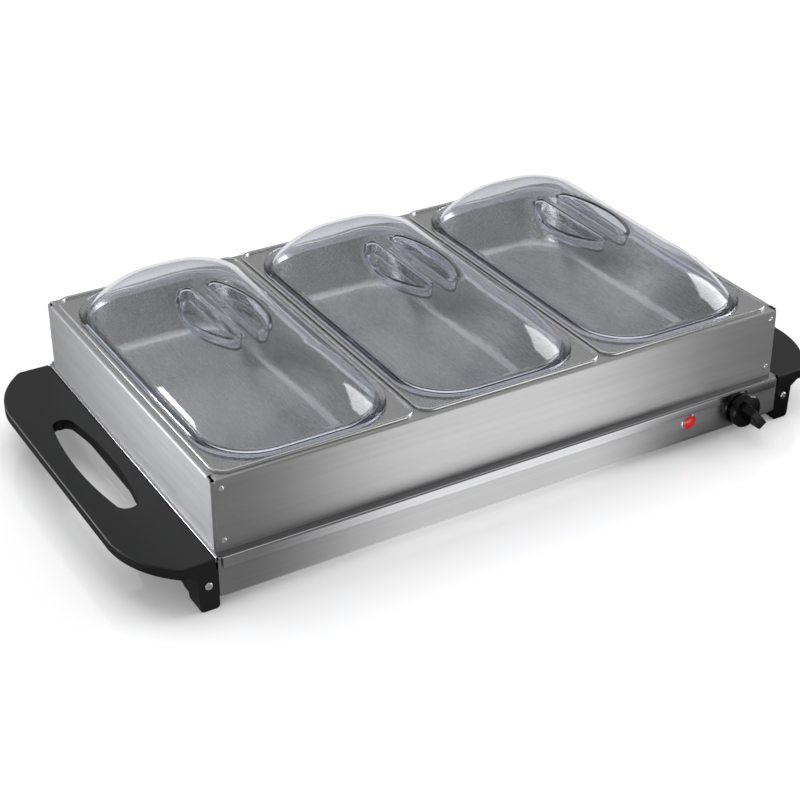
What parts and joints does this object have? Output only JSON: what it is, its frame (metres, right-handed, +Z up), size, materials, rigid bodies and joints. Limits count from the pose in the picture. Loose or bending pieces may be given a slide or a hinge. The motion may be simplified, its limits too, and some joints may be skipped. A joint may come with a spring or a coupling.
{
  "type": "electric food warmer tray",
  "caption": "Electric warming tray with a lift-off steel frame, drop-in pans under clear domed lids, black side handles and a turn knob on the front.",
  "frame": {"origin": "middle of the overall box at the height of the feet's undersides", "axes": "+X along the tray towards the knob's end, +Y from the front to the back, +Z up"},
  "size_m": [0.66, 0.377, 0.1521],
  "materials": {
    "plate_steel": "brushed",
    "base_steel": "brushed",
    "cover_steel": "satin",
    "frame_steel": "brushed",
    "pan_steel": "satin",
    "rivet_metal": "satin",
    "screw_steel": "polished",
    "lid_clear": "clear",
    "handle_black": "fine texture",
    "knob_black": "semi-gloss",
    "lens_red": "clear",
    "ring_bright": "polished",
    "lamp_plastic": "matt",
    "spring_steel": "satin",
    "thermostat_resin": "matt",
    "gland_rubber": "matt",
    "spreader_aluminium": "mill",
    "element_sheath": "heat-darkened",
    "fuse_sleeve": "woven",
    "pad_fibre": "felted",
    "terminal_ceramic": "unglazed"
  },
  "bodies": {
    "base": {"warming_plate": "plate_steel", "base_front_panel": "base_steel", "base_rear_panel": "base_steel", "base_left_panel": "base_steel", "base_right_panel": "base_steel", "bottom_cover": "cover_steel", "handle_screws": "screw_steel", "handle_side_screws": "screw_steel", "bottom_cover_screws": "screw_steel", "terminal_screws": "screw_steel", "thermostat_screws": "screw_steel", "strap_nuts": "screw_steel", "handle_left": "handle_black", "handle_right": "handle_black", "knob_bezel": "knob_black", "indicator_lens": "lens_red", "indicator_ring": "ring_bright", "indicator_body": "lamp_plastic", "indicator_clip": "spring_steel", "fuse_clip": "spring_steel", "element_straps": "spring_steel", "thermostat_bracket": "spring_steel", "thermostat_body": "thermostat_resin", "cord_gland": "gland_rubber", "heat_spreader": "spreader_aluminium", "heating_element": "element_sheath", "thermal_fuse": "fuse_sleeve", "insulation_pad": "pad_fibre", "terminal_block": "terminal_ceramic"},
    "frame": {"frame_front_panel": "frame_steel", "frame_rear_panel": "frame_steel", "frame_left_panel": "frame_steel", "frame_right_panel": "frame_steel", "frame_divider_left": "frame_steel", "frame_divider_right": "frame_steel", "frame_rivets": "rivet_metal"},
    "knob": {"knob": "knob_black", "thermostat_shaft": "spring_steel"},
    "pan_left": {"pan_left": "pan_steel"},
    "lid_left": {"lid_left": "lid_clear"},
    "pan_middle": {"pan_middle": "pan_steel"},
    "lid_middle": {"lid_middle": "lid_clear"},
    "pan_right": {"pan_right": "pan_steel"},
    "lid_right": {"lid_right": "lid_clear"}
  },
  "joints": [
    {"name": "frame_lift", "type": "slide", "parent": "base", "child": "frame", "axis": [0, 0, 1], "range_m": [0, 0.075]},
    {"name": "knob_turn", "type": "hinge", "parent": "base", "child": "knob", "pos_m": [0.227, -0.1605, 0.0275], "axis": [0, -1, 0], "range_deg": [0, 300]},
    {"name": "pan_left_lift", "type": "slide", "parent": "frame", "child": "pan_left", "axis": [0, 0, 1], "range_m": [0, 0.11]},
    {"name": "lid_left_lift", "type": "slide", "parent": "pan_left", "child": "lid_left", "axis": [0, 0, 1], "range_m": [0, 0.07]},
    {"name": "pan_middle_lift", "type": "slide", "parent": "frame", "child": "pan_middle", "axis": [0, 0, 1], "range_m": [0, 0.11]},
    {"name": "lid_middle_lift", "type": "slide", "parent": "pan_middle", "child": "lid_middle", "axis": [0, 0, 1], "range_m": [0, 0.07]},
    {"name": "pan_right_lift", "type": "slide", "parent": "frame", "child": "pan_right", "axis": [0, 0, 1], "range_m": [0, 0.11]},
    {"name": "lid_right_lift", "type": "slide", "parent": "pan_right", "child": "lid_right", "axis": [0, 0, 1], "range_m": [0, 0.07]}
  ]
}
